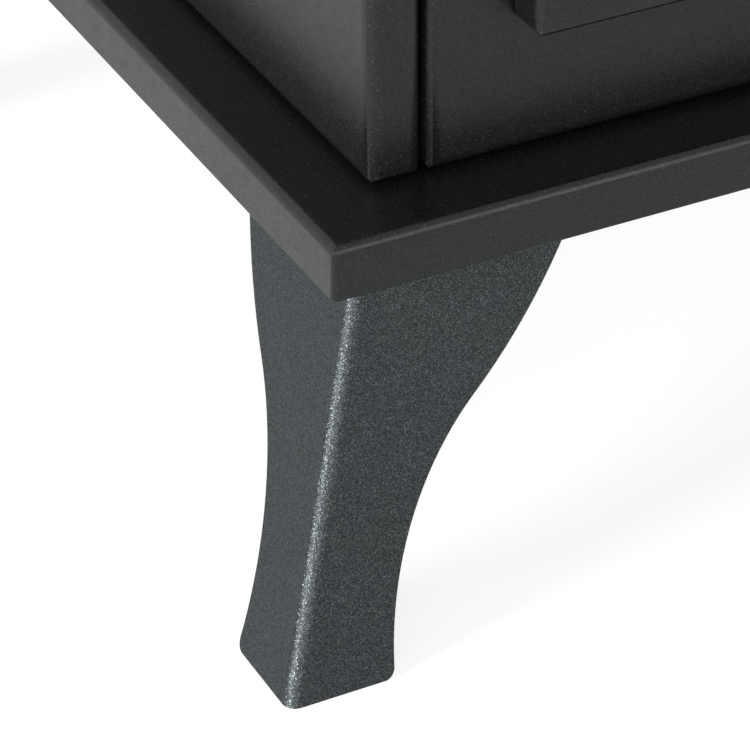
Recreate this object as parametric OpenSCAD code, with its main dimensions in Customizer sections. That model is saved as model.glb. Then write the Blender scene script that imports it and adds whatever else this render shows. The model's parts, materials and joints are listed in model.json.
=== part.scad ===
// Freestanding bioethanol fireplace in the shape of a small stove: a folded
// sheet-steel body on four splayed sheet legs, with a glazed door, a steel
// firebox and a lift-out burner. Millimetres, +Z up, the door faces -Y, and
// the origin is on the floor under the middle of the body.

/* [Body] */
// Width of the body over its side panels
body_w = 445; // [425:5:520]
// Depth of the body from front panel to back panel
body_d = 319; // [300:1:360]
// Height of the body between base tray and top plate
body_h = 450; // [430:5:560]
// Thickness of the body sheet
sheet = 1.5; // [1:0.25:2]
// Outer radius of the folds of side panels and front panel
panel_fold_r = 5.5; // [4.5:0.25:6.5]
// Outer radius of the folds round the windows and of the firebox
fold_r = 3; // [2.5:0.25:4]
// Width of a side panel's front flange, which ends in a lip
front_flange_w = 20; // [18:0.5:22]
// Depth of that lip, folded backwards
lip_d = 12; // [10:0.5:14]
// Width of a side panel's other flanges
flange_w = 17.5; // [16.5:0.5:20]
// Gap between a front flange and the front panel
panel_gap = 0.8; // [0.4:0.1:1.6]
// Depth of the front panel's returns
return_d = 17; // [16:0.5:19]

/* [Base tray and top plate] */
// How far base and top stand out beside the body
side_overhang = 26.5; // [25:0.5:40]
// How far base and top stand out before and behind the body
front_overhang = 27; // [25:0.5:40]
// Height of the folded rim
rim_h = 20; // [16:1:26]
// Outer radius of the rim's folds
rim_fold_r = 4.25; // [3.5:0.25:5]
// Radius of the rim's upright corners
rim_corner_r = 2.5; // [2.25:0.25:4]

/* [Legs] */
// Height of the legs below the rim
leg_h = 126; // [115:1:135]
// Thickness of the leg sheet
leg_sheet = 2; // [1.5:0.25:2.5]
// Outer radius of the leg's fold
leg_fold_r = 5.5; // [4.5:0.25:6.5]
// Distance from the rim to the leg's fold, level with the rim's lower edge
leg_inset = 17; // [15:1:20]
// How far the foot's corner stands outside the rim, both ways
foot_out = 36; // [28:1:40]
// Drop from the rim to the point where the outline changes its curve
knee_drop = 47.5; // [44:0.5:52]
// Distance from the fold's top to that point, along the face
knee_x = 32.6; // [30:0.2:36]
// Slope of the outline there, measured from upright
knee_angle = 54; // [50:1:56]
// Radius of the hollow curve above the foot
hollow_r = 115; // [110:1:130]
// Radius of the full curve under the rim
swell_r = 225; // [200:5:250]
// Radius of the foot's rounded inner corner
toe_r = 4.5; // [2:0.5:6]
// Reach of the leg's top plate from the fold
plate_reach = 85; // [80:1:88]
// Distance from the fold to the nearer leg bolts
bolt_near = 38; // [36:1:42]
// Distance from the fold to the farther leg bolts
bolt_far = 70; // [66:1:72]

/* [Door] */
// Width of the front on each side of the door
door_side = 52; // [50:1:56]
// Height of the door's lower edge above the base tray
door_lift = 49; // [45:1:60]
// Height of the front above the door
door_drop = 70; // [60:1:80]
// How far the door's face stands in front of the front panel
door_proud = 17; // [16.5:0.5:20]
// Outer radius of the door's folds
door_fold_r = 4.5; // [3.5:0.25:5]
// Gap between the closed door and the front panel
door_gap = 0.6; // [0.4:0.1:1]
// Width of the door frame round its window
door_border = 44; // [42:1:50]
// Depth of the window's folded edge
window_edge = 6; // [5:0.5:6.5]
// How far the door overlaps the opening behind it
door_overlap = 18; // [17:0.5:20]
// Thickness of the glass
glass_t = 4; // [3:0.5:4]
// How far the glass reaches past the window on each side
glass_margin = 10; // [8:0.5:11]
// Thickness of the flat seal between glass and frame
seal_t = 1.5; // [1:0.25:2]

/* [Glass strips] */
// Thickness of the strips that hold the glass
strip_sheet = 1.2; // [1:0.1:1.5]
// Clearance between the glass edge and a strip
strip_gap = 1.2; // [0.8:0.1:1.5]
// Width of a strip's foot
strip_foot = 9; // [8.6:0.2:10]
// Width of a strip's lip over the glass
strip_lip = 8; // [6:0.5:9]
// How much shorter a strip is than the window's height, at each end
strip_end = 31; // [24:1:44]
// Distance of a strip's studs from its ends
stud_end = 30; // [20:1:40]

/* [Hinges] */
// Radius of the hinge pins
pin_r = 2.5; // [2:0.25:3]
// Radial clearance of a pin in its knuckles
pin_clearance = 0.06; // [0.04:0.01:0.1]
// Outer radius of the knuckles
knuckle_r = 4.5; // [4:0.25:5]
// Distance from the door's edge to the pin axis
hinge_out = 7; // [6.8:0.1:8]
// Distance from the front panel to the pin axis
hinge_proud = 9; // [8.5:0.25:10]
// Height of the knuckle on the door
door_knuckle_h = 20; // [16:1:26]
// Height of each knuckle on the front panel
panel_knuckle_h = 12; // [10:1:16]
// Gap between neighbouring knuckles
knuckle_gap = 0.4; // [0.3:0.1:0.8]
// Width of the hinge leaf on the front panel
leaf_w = 22; // [18:1:23]
// Thickness of the hinge leaves
leaf_t = 2; // [1.5:0.25:2.5]
// Distance of the hinges' middles from the door's ends
hinge_end = 60; // [50:1:85]

/* [Knob and catch] */
// Distance from the door's edge to the knob's axis
knob_in = 14; // [13:0.5:15]
// Radius of the knob's grip
knob_r = 13; // [10:0.5:15]
// How far the knob stands out of the door
knob_out = 36; // [30:1:44]
// Distance of the magnetic catch below the door's upper edge
catch_drop = 75; // [55:1:105]
// Width of the catch
catch_w = 10; // [8:0.5:10]
// Height of the magnet block
catch_h = 24; // [20:1:30]
// Gap between magnet and strike plate
catch_gap = 0.5; // [0.4:0.1:0.8]

/* [Firebox] */
// Thickness of the firebox sheet
liner_sheet = 1.5; // [1:0.25:1.5]
// Depth of the flanges on the deck and the baffle
liner_flange = 16; // [14:1:20]
// Air space between firebox and back panel
rear_space = 40; // [30:1:50]
// Length of the gap behind the baffle, where the warm air rises
baffle_slot = 38; // [30:1:60]
// Outer radius of the rear spacers
spacer_r = 6; // [5:0.5:8]
// Distance of the rear spacers from the firebox's sides
spacer_side = 44; // [30:2:70]
// Distance of the rear spacers from the firebox's floor and roof
spacer_end = 38; // [30:2:70]

/* [Burner] */
// Space between the burner's cover and the firebox wall
cover_side = 8.5; // [7:0.5:14]
// Width of the burner tank
tank_w = 92; // [90:1:98]
// Depth of the burner tank below the deck
tank_h = 62; // [45:1:63]
// Thickness of the burner's stainless sheet
tank_sheet = 1; // [0.8:0.1:1.2]
// Outer radius of the tank's folds
tank_fold_r = 4; // [3:0.5:5]
// Width of the cover's flange beyond the tank
cover_flange = 12; // [9:1:12]
// Thickness of the cover plate
cover_t = 1.5; // [1:0.25:2]
// Clearance between tank and deck opening
tank_gap = 2; // [1:0.25:3]
// Air space between the absorbent block and the cover
wool_drop = 8; // [6:1:12]
// Distance of the flame slot from the tank's ends
slot_end = 31; // [28:1:50]
// Width of the flame slot
slot_w = 36; // [30:1:38]
// How far the regulator covers the slot's edges
slide_lap = 6; // [4:0.5:7]
// Thickness of the regulator plate
slide_t = 1.5; // [1:0.25:2]
// Travel of the regulator from closed to open
slide_travel = 44; // [38:1:45]

/* [Vents] */
// Length of a vent slot
vent_l = 40; // [30:1:44]
// Width of a vent slot
vent_w = 5; // [4:0.5:6]
// Number of vent slots in a row
vent_columns = 6; // [3:1:7]
// Number of rows in a vent field
vent_rows = 3; // [2:1:4]

/* [Hidden] */
$fn = 48;

// Rough lengths that only have to reach past what they cut
past = 1;
beyond = 30;

// How far two curves with one slope overlap, so that they meet in one clean line
tuck = 0.01;

// Levels, from the floor up
deck_z = leg_h + rim_h;
body_top_z = deck_z + body_h;
top_z = body_top_z + sheet;

// Outlines of the base tray and the top plate
rim_w = body_w + 2 * side_overhang;
rim_d = body_d + 2 * front_overhang;
front_y = -body_d / 2;
back_y = body_d / 2;

// Leg fold: how much it leans per unit of height, both ways
diagonal = 45;
leg_lean = (leg_inset + foot_out) / leg_h;
leg_tilt = atan(leg_lean * sqrt(2));
leg_open = acos(-leg_lean * leg_lean / (1 + leg_lean * leg_lean));
leg_top = rim_h - sheet;
plate_start = leg_lean * leg_top;
plate_step = bolt_near;
leg_bolt_points = [
    [bolt_near, bolt_near],
    [bolt_far, bolt_near],
    [bolt_near, bolt_far]
];

// Fasteners: bolts of 6 and 5, screws of 4 and 3
m6_r = 3;
m6_flats = 10;
m6_head = 4;
m6_nut = 5;
m5_r = 2.5;
m5_flats = 8;
m5_head = 3.5;
m5_nut = 4;
m4_r = 2;
m4_flats = 7;
m4_nut = 3.2;
m3_r = 1.5;
hole_play = 0.25;
thread_play = 0.05;
bolt_tail = 1.5;

// Bolts that hold the body between base tray and top plate
plate_clear = 17;
front_bolt_pitch = rim_w / 2 - leg_inset - plate_reach - plate_clear;
side_bolt_pitch = body_d - 2 * (plate_reach + plate_clear);
front_bolt_y = front_y + (return_d + panel_fold_r) / 2;
side_bolt_x = body_w / 2 - (flange_w + panel_fold_r) / 2;
body_bolt_points = concat(
    [for (i = [-1:1]) [i * front_bolt_pitch, front_bolt_y]],
    [for (i = [-1, 1]) for (j = [-1, 1]) [i * side_bolt_x, j * side_bolt_pitch / 2]]
);

// Back panel and its screws, in the side panels' rear flanges
back_end_gap = 0.5;
back_w = body_w - 2 * panel_fold_r;
back_h = body_h - 2 * back_end_gap;
back_screw_rows = 4;
back_screw_margin = 45;
back_screw_step = (body_h - 2 * back_screw_margin) / (back_screw_rows - 1);
back_screw_zs = [for (i = [0:back_screw_rows - 1]) deck_z + back_screw_margin + i * back_screw_step];

// Front panel and the opening behind the door
panel_w = body_w - 2 * (front_flange_w + panel_gap);
door_w = body_w - 2 * door_side;
door_h = body_h - door_lift - door_drop;
door_z = deck_z + door_lift + door_h / 2;
opening_w = door_w - 2 * door_overlap;
opening_h = door_h - 2 * door_overlap;

// Door, from its face inwards
door_face_y = front_y - door_proud;
door_d = door_proud - door_gap;
door_in_y = door_face_y + sheet;
window_w = door_w - 2 * door_border;
window_h = door_h - 2 * door_border;
glass_w = window_w + 2 * glass_margin;
glass_h = window_h + 2 * glass_margin;
seal_y = door_face_y + window_edge;
glass_y = seal_y + seal_t;
strip_d = glass_y + glass_t - door_in_y + strip_sheet;
strip_l = window_h - 2 * strip_end;
stud_pitch = strip_l - 2 * stud_end;
stud_out = strip_gap + strip_sheet + strip_foot / 2;
stud_l = strip_sheet + m4_nut + bolt_tail;

// Hinges on the door's left edge
hinge_pitch = door_h - 2 * hinge_end;
hinge_x = -door_w / 2 - hinge_out;
hinge_y = front_y - hinge_proud;
hinge_h = door_knuckle_h + 2 * (panel_knuckle_h + knuckle_gap);
leaf_near = hinge_x + knuckle_r - pin_clearance;
leaf_mid_x = leaf_near - leaf_w / 2;
leaf_screw_share = 0.7;
leaf_screw_end = 7;
leaf_screw_x = leaf_near - leaf_w * leaf_screw_share;
leaf_screw_up = hinge_h / 2 - leaf_screw_end;
knuckle_web = 4;
knuckle_leaf_over = 1;
pin_head_in = 0.5;
pin_head_r = knuckle_r - pin_head_in;
pin_head_h = 2;
pin_tail = 1;
hinge_zs = [door_z - hinge_pitch / 2, door_z + hinge_pitch / 2];

// Knob and magnetic catch
knob_x = door_w / 2 - knob_in;
rose_r = 9;
rose_h = 2.5;
neck_r = 4.5;
grip_share = 0.6;
catch_clear = 0.5;
catch_x = door_w / 2 - door_fold_r - catch_clear - catch_w / 2;
catch_z = door_z + door_h / 2 - catch_drop;
strike_t = 1.5;
catch_d = door_proud - sheet - strike_t - catch_gap;
catch_lug = 8;
catch_lug_t = 3;

// Firebox, hung on the returns of the front panel's opening
fire_in_x = opening_w / 2 + sheet;
fire_out_x = fire_in_x + liner_sheet;
fire_floor_z = door_z - opening_h / 2 - sheet;
fire_roof_z = door_z + opening_h / 2 + sheet;
fire_front_y = front_y + 2 * sheet;
fire_back_y = back_y - sheet - rear_space;
fold_room = 2;
liner_end_y = fire_back_y - liner_sheet - fold_room;
liner_d = liner_end_y - fire_front_y;
liner_h = fire_roof_z - fire_floor_z + 2 * liner_flange;
shell_w = 2 * (fire_out_x + liner_sheet);
shell_h = liner_h + 2 * (liner_sheet + fold_room);
baffle_d = liner_d - baffle_slot;
spacer_pitch_x = 2 * (fire_out_x - spacer_side);
spacer_pitch_z = fire_roof_z - fire_floor_z - 2 * spacer_end;

// Screws through the firebox walls, from each side
liner_screw_in = 7;
liner_screw_front = fire_front_y + liner_screw_in;
liner_screw_rear = liner_end_y - liner_screw_in;
liner_screw_low = fire_floor_z - liner_flange / 2;
liner_screw_high = fire_roof_z + liner_flange / 2;
flange_screw_y = 60;

// Burner, hung in the deck by its cover
burner_y = (fire_front_y + liner_end_y) / 2;
cover_l = 2 * (fire_in_x - cover_side);
tank_l = cover_l - 2 * cover_flange;
slot_l = tank_l - 2 * slot_end;
cover_w = tank_w + 2 * cover_flange;
slide_play = 0.3;
slide_lift = 0.2;
slide_l = slot_l + 2 * slide_lap;
slide_w = slot_w + 2 * slide_lap;
slot_y = burner_y - slide_travel / 2;
slide_z = fire_floor_z + cover_t + slide_lift;
rail_t = 1.2;
rail_lip = 5;
rail_foot = 7;
rail_stop = 1.5;
rail_room = 2;
rail_l = slide_w + slide_travel + 2 * (rail_stop + rail_room);
rail_h = slide_lift + slide_t + slide_play + rail_t;
tab_w = 30;
tab_h = 18;
tab_hole_r = 4;

// Vents in the back panel
vent_web_x = 14;
vent_web_z = 9;
vent_pitch_x = vent_l + vent_web_x;
vent_pitch_z = vent_w + vent_web_z;
vent_field_edge = 62;

// Colours as the finished pieces show them
charcoal = [0.24, 0.25, 0.25];
charcoal_dark = [0.16, 0.17, 0.17];
leg_grey = [0.30, 0.31, 0.32];
soot_black = [0.12, 0.12, 0.12];
steel = [0.70, 0.71, 0.72];
zinc = [0.62, 0.63, 0.62];
glass_tint = [0.55, 0.62, 0.64, 0.4];
fibre_white = [0.88, 0.87, 0.84];
seal_black = [0.09, 0.09, 0.10];

// Flat shapes

// Rectangle with four round corners, about the origin
module rounded_rect(w, h, r) {
    square([w - 2 * r, h], center = true);
    square([w, h - 2 * r], center = true);
    for (x = [-1, 1]) {
        for (y = [-1, 1]) {
            translate([x * (w / 2 - r), y * (h / 2 - r)]) circle(r = r);
        }
    }
}

// Rectangle of width w that rises from y = 0 to y = d, its lower corners round
module nosed_rect(w, d, r) {
    translate([-w / 2, r]) square([w, d - r]);
    translate([r - w / 2, 0]) square([w - 2 * r, d]);
    for (x = [-1, 1]) {
        translate([x * (w / 2 - r), r]) circle(r = r);
    }
}

// Passage of width w that flares out at y = 0 by the radius r
module flared_rect(w, d, r) {
    translate([-w / 2, -past]) square([w, d + 2 * past]);
    difference() {
        translate([-w / 2 - r, -past]) square([w + 2 * r, r + past]);
        for (x = [-1, 1]) {
            translate([x * (w / 2 + r), r]) circle(r = r);
        }
    }
}

// Slot with round ends along x
module slot(l, w) {
    square([l - w, w], center = true);
    for (x = [-1, 1]) {
        translate([x * (l - w) / 2, 0]) circle(r = w / 2);
    }
}

// Folded sheet

// Block with the outline of a folded pan: face at z = 0, returns up to z = d,
// folds of radius r and upright corners of radius c
module pan_block(w, h, d, r, c) {
    intersection() {
        linear_extrude(d) rounded_rect(w, h, c);
        rotate([90, 0, 0]) linear_extrude(h + 2 * past, center = true) nosed_rect(w, d, r);
        rotate([90, 0, 90]) linear_extrude(w + 2 * past, center = true) nosed_rect(h, d, r);
    }
}

// Pan of the sheet t with four returns, folds and corners of these outer radii
module cornered_pan(w, h, d, t, r, c) {
    difference() {
        pan_block(w, h, d, r, c);
        translate([0, 0, t]) pan_block(w - 2 * t, h - 2 * t, d, r - t, c - t);
    }
}

// Pan with four returns, its folds and corners of outer radius r
module pan(w, h, d, t, r) {
    cornered_pan(w, h, d, t, r, r);
}

// Pan with a window whose edge is folded inwards by edge_d, raised by shift
module window_pan(w, h, d, r, window_x, window_y, edge_d, shift = 0) {
    t = sheet;
    difference() {
        union() {
            pan(w, h, d, t, r);
            translate([0, -shift, t / 2]) linear_extrude(edge_d - t / 2) {
                square([window_x + 2 * t, window_y + 2 * t], center = true);
            }
        }
        translate([0, -shift, 0]) intersection() {
            rotate([90, 0, 0]) linear_extrude(window_y + beyond, center = true) {
                flared_rect(window_x, d, fold_r);
            }
            rotate([90, 0, 90]) linear_extrude(window_x + beyond, center = true) {
                flared_rect(window_y, d, fold_r);
            }
        }
    }
}

// Fasteners

// Bolt whose shank rises from the origin, with a hexagon head below it
module hex_bolt(r, flats, head, l) {
    translate([0, 0, -head / 2]) cylinder(h = l + head / 2, r = r);
    translate([0, 0, -head]) cylinder(h = head, r = flats / 2 / cos(30), $fn = 6);
}

// Hexagon nut that stands on the origin
module hex_nut(r, flats, h) {
    difference() {
        cylinder(h = h, r = flats / 2 / cos(30), $fn = 6);
        translate([0, 0, -past]) cylinder(h = h + 2 * past, r = r + thread_play);
    }
}

// Screw with a low round head below the origin and its shank above
module pan_screw(r, l) {
    translate([0, 0, -r / 2]) cylinder(h = l + r / 2, r = r);
    translate([0, 0, -r]) cylinder(h = r, r = 2 * r);
}

// Legs

// Region between the two faces of the fold, its corner rounded to r
module fold_wedge(r, reach) {
    half = leg_open / 2;
    centre = leg_fold_r / sin(half) * [cos(diagonal), sin(diagonal)];
    face_a = diagonal - half;
    face_b = diagonal + half;
    foot_a = centre + (r - tuck) * [cos(face_a - 90), sin(face_a - 90)];
    foot_b = centre + (r - tuck) * [cos(face_b + 90), sin(face_b + 90)];
    polygon([
        centre,
        foot_a,
        foot_a + reach * [cos(face_a), sin(face_a)],
        foot_b + reach * [cos(face_b), sin(face_b)],
        foot_b
    ]);
    translate(centre) circle(r = r);
}

// Bent sheet before its outline is cut, with the fold through the origin
module leg_blank() {
    reach = plate_reach + 2 * beyond;
    drop = leg_h + reach;
    rise = rim_h + reach;
    intersection() {
        rotate(a = leg_tilt, v = [-1, 1, 0]) translate([0, 0, -drop]) linear_extrude(drop + rise) {
            difference() {
                fold_wedge(leg_fold_r, reach);
                fold_wedge(leg_fold_r - leg_sheet, reach + beyond);
            }
        }
        translate([-reach, -reach, -leg_h]) cube([2 * reach, 2 * reach, leg_h + leg_top]);
    }
}

// What is cut from a leg face: everything beyond its curved inner edge.
// The edge is two arcs that meet at the knee with one slope.
module face_waste() {
    knee = [knee_x, -knee_drop];
    hollow_c = knee + hollow_r * [cos(knee_angle), -sin(knee_angle)];
    swell_c = knee + (swell_r - tuck) * [-cos(knee_angle), sin(knee_angle)];
    low_z = -leg_h - past;
    high_z = rim_h + past;
    foot_x = hollow_c.x - sqrt(pow(hollow_r, 2) - pow(leg_h + hollow_c.y, 2));
    far_x = knee_x + swell_r;
    toe_z = toe_r - leg_h;
    toe_x = hollow_c.x - sqrt(pow(hollow_r + toe_r, 2) - pow(hollow_c.y - toe_z, 2));
    toe_c = [toe_x, toe_z];
    toe_end = hollow_c + (toe_c - hollow_c) * hollow_r / (hollow_r + toe_r);
    difference() {
        union() {
            polygon([[foot_x, low_z], knee, [far_x, high_z], [far_x, low_z]]);
            polygon([knee, [knee_x, high_z], [far_x, high_z]]);
            translate(hollow_c) circle(r = hollow_r, $fn = 180);
        }
        translate(swell_c) circle(r = swell_r, $fn = 180);
    }
    difference() {
        polygon([[toe_x, low_z], [foot_x + past, low_z], toe_end, toe_c]);
        translate(toe_c) circle(r = toe_r + tuck);
    }
}

// One leg, its fold passing through the origin at the rim's lower edge
module leg() {
    reach = plate_reach + 2 * beyond;
    difference() {
        leg_blank();
        rotate([90, 0, 0]) linear_extrude(2 * reach, center = true) face_waste();
        mirror([1, -1, 0]) rotate([90, 0, 0]) linear_extrude(2 * reach, center = true) face_waste();
    }
    translate([0, 0, leg_top - leg_sheet]) linear_extrude(leg_sheet) difference() {
        polygon([
            [plate_start, plate_start],
            [plate_reach, plate_start],
            [plate_reach, plate_start + plate_step],
            [plate_start + plate_step, plate_reach],
            [plate_start, plate_reach]
        ]);
        for (p = leg_bolt_points) {
            translate(p) circle(r = m6_r + hole_play);
        }
    }
}

module leg_front_left() {
    color(leg_grey) translate([leg_inset - rim_w / 2, leg_inset - rim_d / 2, leg_h]) leg();
}

module leg_front_right() {
    mirror([1, 0, 0]) leg_front_left();
}

module leg_rear_left() {
    mirror([0, 1, 0]) leg_front_left();
}

module leg_rear_right() {
    mirror([1, 0, 0]) leg_rear_left();
}

// Puts its children at every leg bolt, at height z
module at_leg_bolts(z) {
    fold_x = rim_w / 2 - leg_inset;
    fold_y = rim_d / 2 - leg_inset;
    for (x = [-1, 1]) {
        for (y = [-1, 1]) {
            for (p = leg_bolt_points) {
                translate([x * (fold_x - p.x), y * (fold_y - p.y), z]) children();
            }
        }
    }
}

module leg_bolts() {
    color(zinc) at_leg_bolts(deck_z - sheet - leg_sheet) {
        hex_bolt(m6_r, m6_flats, m6_head, leg_sheet + sheet + m6_nut + bolt_tail);
    }
}

module leg_nuts() {
    color(zinc) at_leg_bolts(deck_z) hex_nut(m6_r, m6_flats, m6_nut);
}

// Base tray and top plate

// Folded tray with its face up at height z
module rim_tray(z) {
    translate([0, 0, z]) rotate([180, 0, 0]) {
        cornered_pan(rim_w, rim_d, rim_h, sheet, rim_fold_r, rim_corner_r);
    }
}

// Puts its children at every body bolt, at height z
module at_body_bolts(z) {
    for (p = body_bolt_points) {
        translate([p.x, p.y, z]) children();
    }
}

module base_tray() {
    color(charcoal_dark) difference() {
        rim_tray(deck_z);
        at_leg_bolts(deck_z - beyond) cylinder(h = 2 * beyond, r = m6_r + hole_play);
        at_body_bolts(deck_z - beyond) cylinder(h = 2 * beyond, r = m5_r + hole_play);
    }
}

module top_plate() {
    color(charcoal_dark) rim_tray(top_z);
}

// Studs welded under the top plate, through the panels' upper flanges
module top_studs() {
    stud = sheet + m5_nut + bolt_tail;
    color(zinc) at_body_bolts(body_top_z - stud) cylinder(h = stud, r = m5_r);
}

module body_bolts() {
    color(zinc) at_body_bolts(deck_z - sheet) {
        hex_bolt(m5_r, m5_flats, m5_head, 2 * sheet + m5_nut + bolt_tail);
    }
}

module body_nuts() {
    color(zinc) at_body_bolts(deck_z + sheet) hex_nut(m5_r, m5_flats, m5_nut);
}

module top_nuts() {
    color(zinc) at_body_bolts(body_top_z - sheet - m5_nut) hex_nut(m5_r, m5_flats, m5_nut);
}

// Body panels

// Holes for the body bolts through the lower and upper flanges
module body_bolt_holes() {
    at_body_bolts(deck_z - beyond) cylinder(h = body_h + 2 * beyond, r = m5_r + hole_play);
}

// Front edge of the left side panel: its flange with the lip folded backwards
module front_channel() {
    translate([(front_flange_w - body_w) / 2, front_y, deck_z + body_h / 2]) rotate([-90, 0, 0]) {
        pan(front_flange_w, body_h, lip_d, sheet, panel_fold_r);
    }
}

// Rest of the left side panel, behind that lip, with three plain flanges
module side_sheet() {
    intersection() {
        translate([-body_w / 2, -sheet / 2, deck_z + body_h / 2]) rotate([0, 90, 0]) {
            pan(body_h, body_d - sheet, flange_w, sheet, panel_fold_r);
        }
        translate([-body_w / 2 - past, front_y + lip_d, deck_z - past]) {
            cube([flange_w + 2 * past, body_d, body_h + 2 * past]);
        }
    }
}

module side_panel_left() {
    color(charcoal) difference() {
        union() {
            front_channel();
            side_sheet();
        }
        body_bolt_holes();
        at_back_screws() cylinder(h = 4 * sheet, r = m4_r + thread_play, center = true);
    }
}

module side_panel_right() {
    mirror([1, 0, 0]) side_panel_left();
}

// Front panel with the opening behind the door
module front_panel() {
    middle_z = deck_z + body_h / 2;
    color(charcoal) difference() {
        translate([0, front_y, middle_z]) rotate([-90, 0, 0]) {
            window_pan(
                panel_w, body_h, return_d, panel_fold_r,
                opening_w, opening_h, return_d, door_z - middle_z
            );
        }
        body_bolt_holes();
        wall_screw_holes(liner_screw_front);
        at_hinge_screws() cylinder(h = 4 * sheet, r = m4_r + thread_play, center = true);
        at_catch_screws() cylinder(h = 4 * sheet, r = m3_r + thread_play, center = true);
    }
}

// Puts its children at every back panel screw, with +z pointing forwards
module at_back_screws() {
    for (x = [-1, 1]) {
        for (z = back_screw_zs) {
            translate([x * side_bolt_x, back_y - sheet, z]) rotate([90, 0, 0]) children();
        }
    }
}

// Field of vent slots about the origin, cut along z
module vent_field() {
    for (i = [0:vent_columns - 1]) {
        for (j = [0:vent_rows - 1]) {
            x = (i - (vent_columns - 1) / 2) * vent_pitch_x;
            y = (j - (vent_rows - 1) / 2) * vent_pitch_z;
            translate([x, y]) slot(vent_l, vent_w);
        }
    }
}

// Flat back panel with an inlet field below and an outlet field above
module back_panel() {
    color(charcoal) difference() {
        translate([0, back_y, deck_z + body_h / 2]) rotate([90, 0, 0]) linear_extrude(sheet) {
            difference() {
                rounded_rect(back_w, back_h, fold_r);
                for (s = [-1, 1]) {
                    translate([0, s * (body_h / 2 - vent_field_edge)]) vent_field();
                }
            }
        }
        at_back_screws() cylinder(h = 4 * sheet, r = m4_r + hole_play, center = true);
        at_rear_spacers(back_y - beyond) cylinder(h = 2 * beyond, r = m5_r + hole_play);
    }
}

module back_screws() {
    color(zinc) translate([0, sheet, 0]) at_back_screws() pan_screw(m4_r, 2 * sheet + bolt_tail);
}

// Firebox

// Holes for the screws through the firebox walls at the depth y
module wall_screw_holes(y) {
    for (x = [-1, 1]) {
        for (z = [-1, 1]) {
            translate([x * fire_out_x, y, door_z + z * opening_h / 4]) rotate([0, 90, 0]) {
                cylinder(h = 6 * liner_sheet, r = m4_r + thread_play, center = true);
            }
        }
    }
}

// Holes for the screws through the firebox's folded flanges at the height z
module flange_screw_holes(z) {
    for (x = [-1, 1]) {
        for (y = [-1, 1]) {
            translate([x * fire_out_x, burner_y + y * flange_screw_y, z]) rotate([0, 90, 0]) {
                cylinder(h = 6 * liner_sheet, r = m4_r + thread_play, center = true);
            }
        }
    }
}

module firebox_deck() {
    color(soot_black) difference() {
        translate([0, (fire_front_y + liner_end_y) / 2, fire_floor_z]) rotate([180, 0, 0]) {
            pan(2 * fire_in_x, liner_d, liner_flange, liner_sheet, fold_r);
        }
        translate([0, burner_y, fire_floor_z - liner_sheet - past]) linear_extrude(liner_sheet + 2 * past) {
            rounded_rect(tank_l + 2 * tank_gap, tank_w + 2 * tank_gap, tank_fold_r);
        }
        flange_screw_holes(liner_screw_low);
    }
}

module firebox_baffle() {
    color(soot_black) difference() {
        translate([0, fire_front_y + baffle_d / 2, fire_roof_z]) {
            pan(2 * fire_in_x, baffle_d, liner_flange, liner_sheet, fold_r);
        }
        flange_screw_holes(liner_screw_high);
    }
}

module firebox_liner_right() {
    color(soot_black) difference() {
        translate([fire_in_x, fire_front_y, fire_floor_z - liner_flange]) {
            cube([liner_sheet, liner_d, liner_h]);
        }
        wall_screw_holes(liner_screw_front);
        wall_screw_holes(liner_screw_rear);
        flange_screw_holes(liner_screw_low);
        flange_screw_holes(liner_screw_high);
    }
}

module firebox_liner_left() {
    mirror([1, 0, 0]) firebox_liner_right();
}

// Rear wall of the firebox, folded forwards round the side liners
module firebox_back() {
    color(soot_black) difference() {
        translate([0, fire_back_y, door_z]) rotate([90, 0, 0]) {
            pan(shell_w, shell_h, liner_flange + fold_room, liner_sheet, fold_r);
        }
        wall_screw_holes(liner_screw_rear);
    }
}

// One screw through the firebox wall from outside, its head on the face at x
module liner_screw(x, y, z, l) {
    for (s = [0, 1]) {
        mirror([s, 0, 0]) translate([x, y, z]) rotate([0, -90, 0]) pan_screw(m4_r, l);
    }
}

module liner_screws() {
    thin = sheet + liner_sheet;
    color(zinc) {
        for (z = [-1, 1]) {
            liner_screw(fire_out_x, liner_screw_front, door_z + z * opening_h / 4, thin);
            liner_screw(shell_w / 2, liner_screw_rear, door_z + z * opening_h / 4, 2 * liner_sheet);
        }
        for (y = [-1, 1]) {
            for (z = [liner_screw_low, liner_screw_high]) {
                liner_screw(fire_out_x, burner_y + y * flange_screw_y, z, 2 * liner_sheet + bolt_tail);
            }
        }
    }
}

// Puts its children at every rear spacer at the depth y, +z pointing backwards
module at_rear_spacers(y) {
    for (x = [-1, 1]) {
        for (z = [-1, 1]) {
            translate([x * spacer_pitch_x / 2, y, door_z + z * spacer_pitch_z / 2]) {
                rotate([-90, 0, 0]) children();
            }
        }
    }
}

module rear_spacers() {
    color(zinc) at_rear_spacers(fire_back_y) difference() {
        cylinder(h = rear_space, r = spacer_r);
        translate([0, 0, -past]) cylinder(h = rear_space + 2 * past, r = m5_r + thread_play);
    }
}

module rear_screws() {
    color(zinc) at_rear_spacers(back_y) mirror([0, 0, 1]) pan_screw(m5_r, sheet + rear_space / 2);
}

// Door

// Puts its children round the window on the inside of the door's face: one
// pair for each strip, r out from the window's centre lines, +z backwards
module at_strip_studs() {
    for (s = [-1, 1]) {
        for (p = [-1, 1]) {
            translate([s * (glass_w / 2 + stud_out), door_in_y, door_z + p * stud_pitch / 2]) {
                rotate([-90, 0, 0]) children();
            }
            translate([p * stud_pitch / 2, door_in_y, door_z + s * (glass_h / 2 + stud_out)]) {
                rotate([-90, 0, 0]) children();
            }
        }
    }
}

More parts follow.
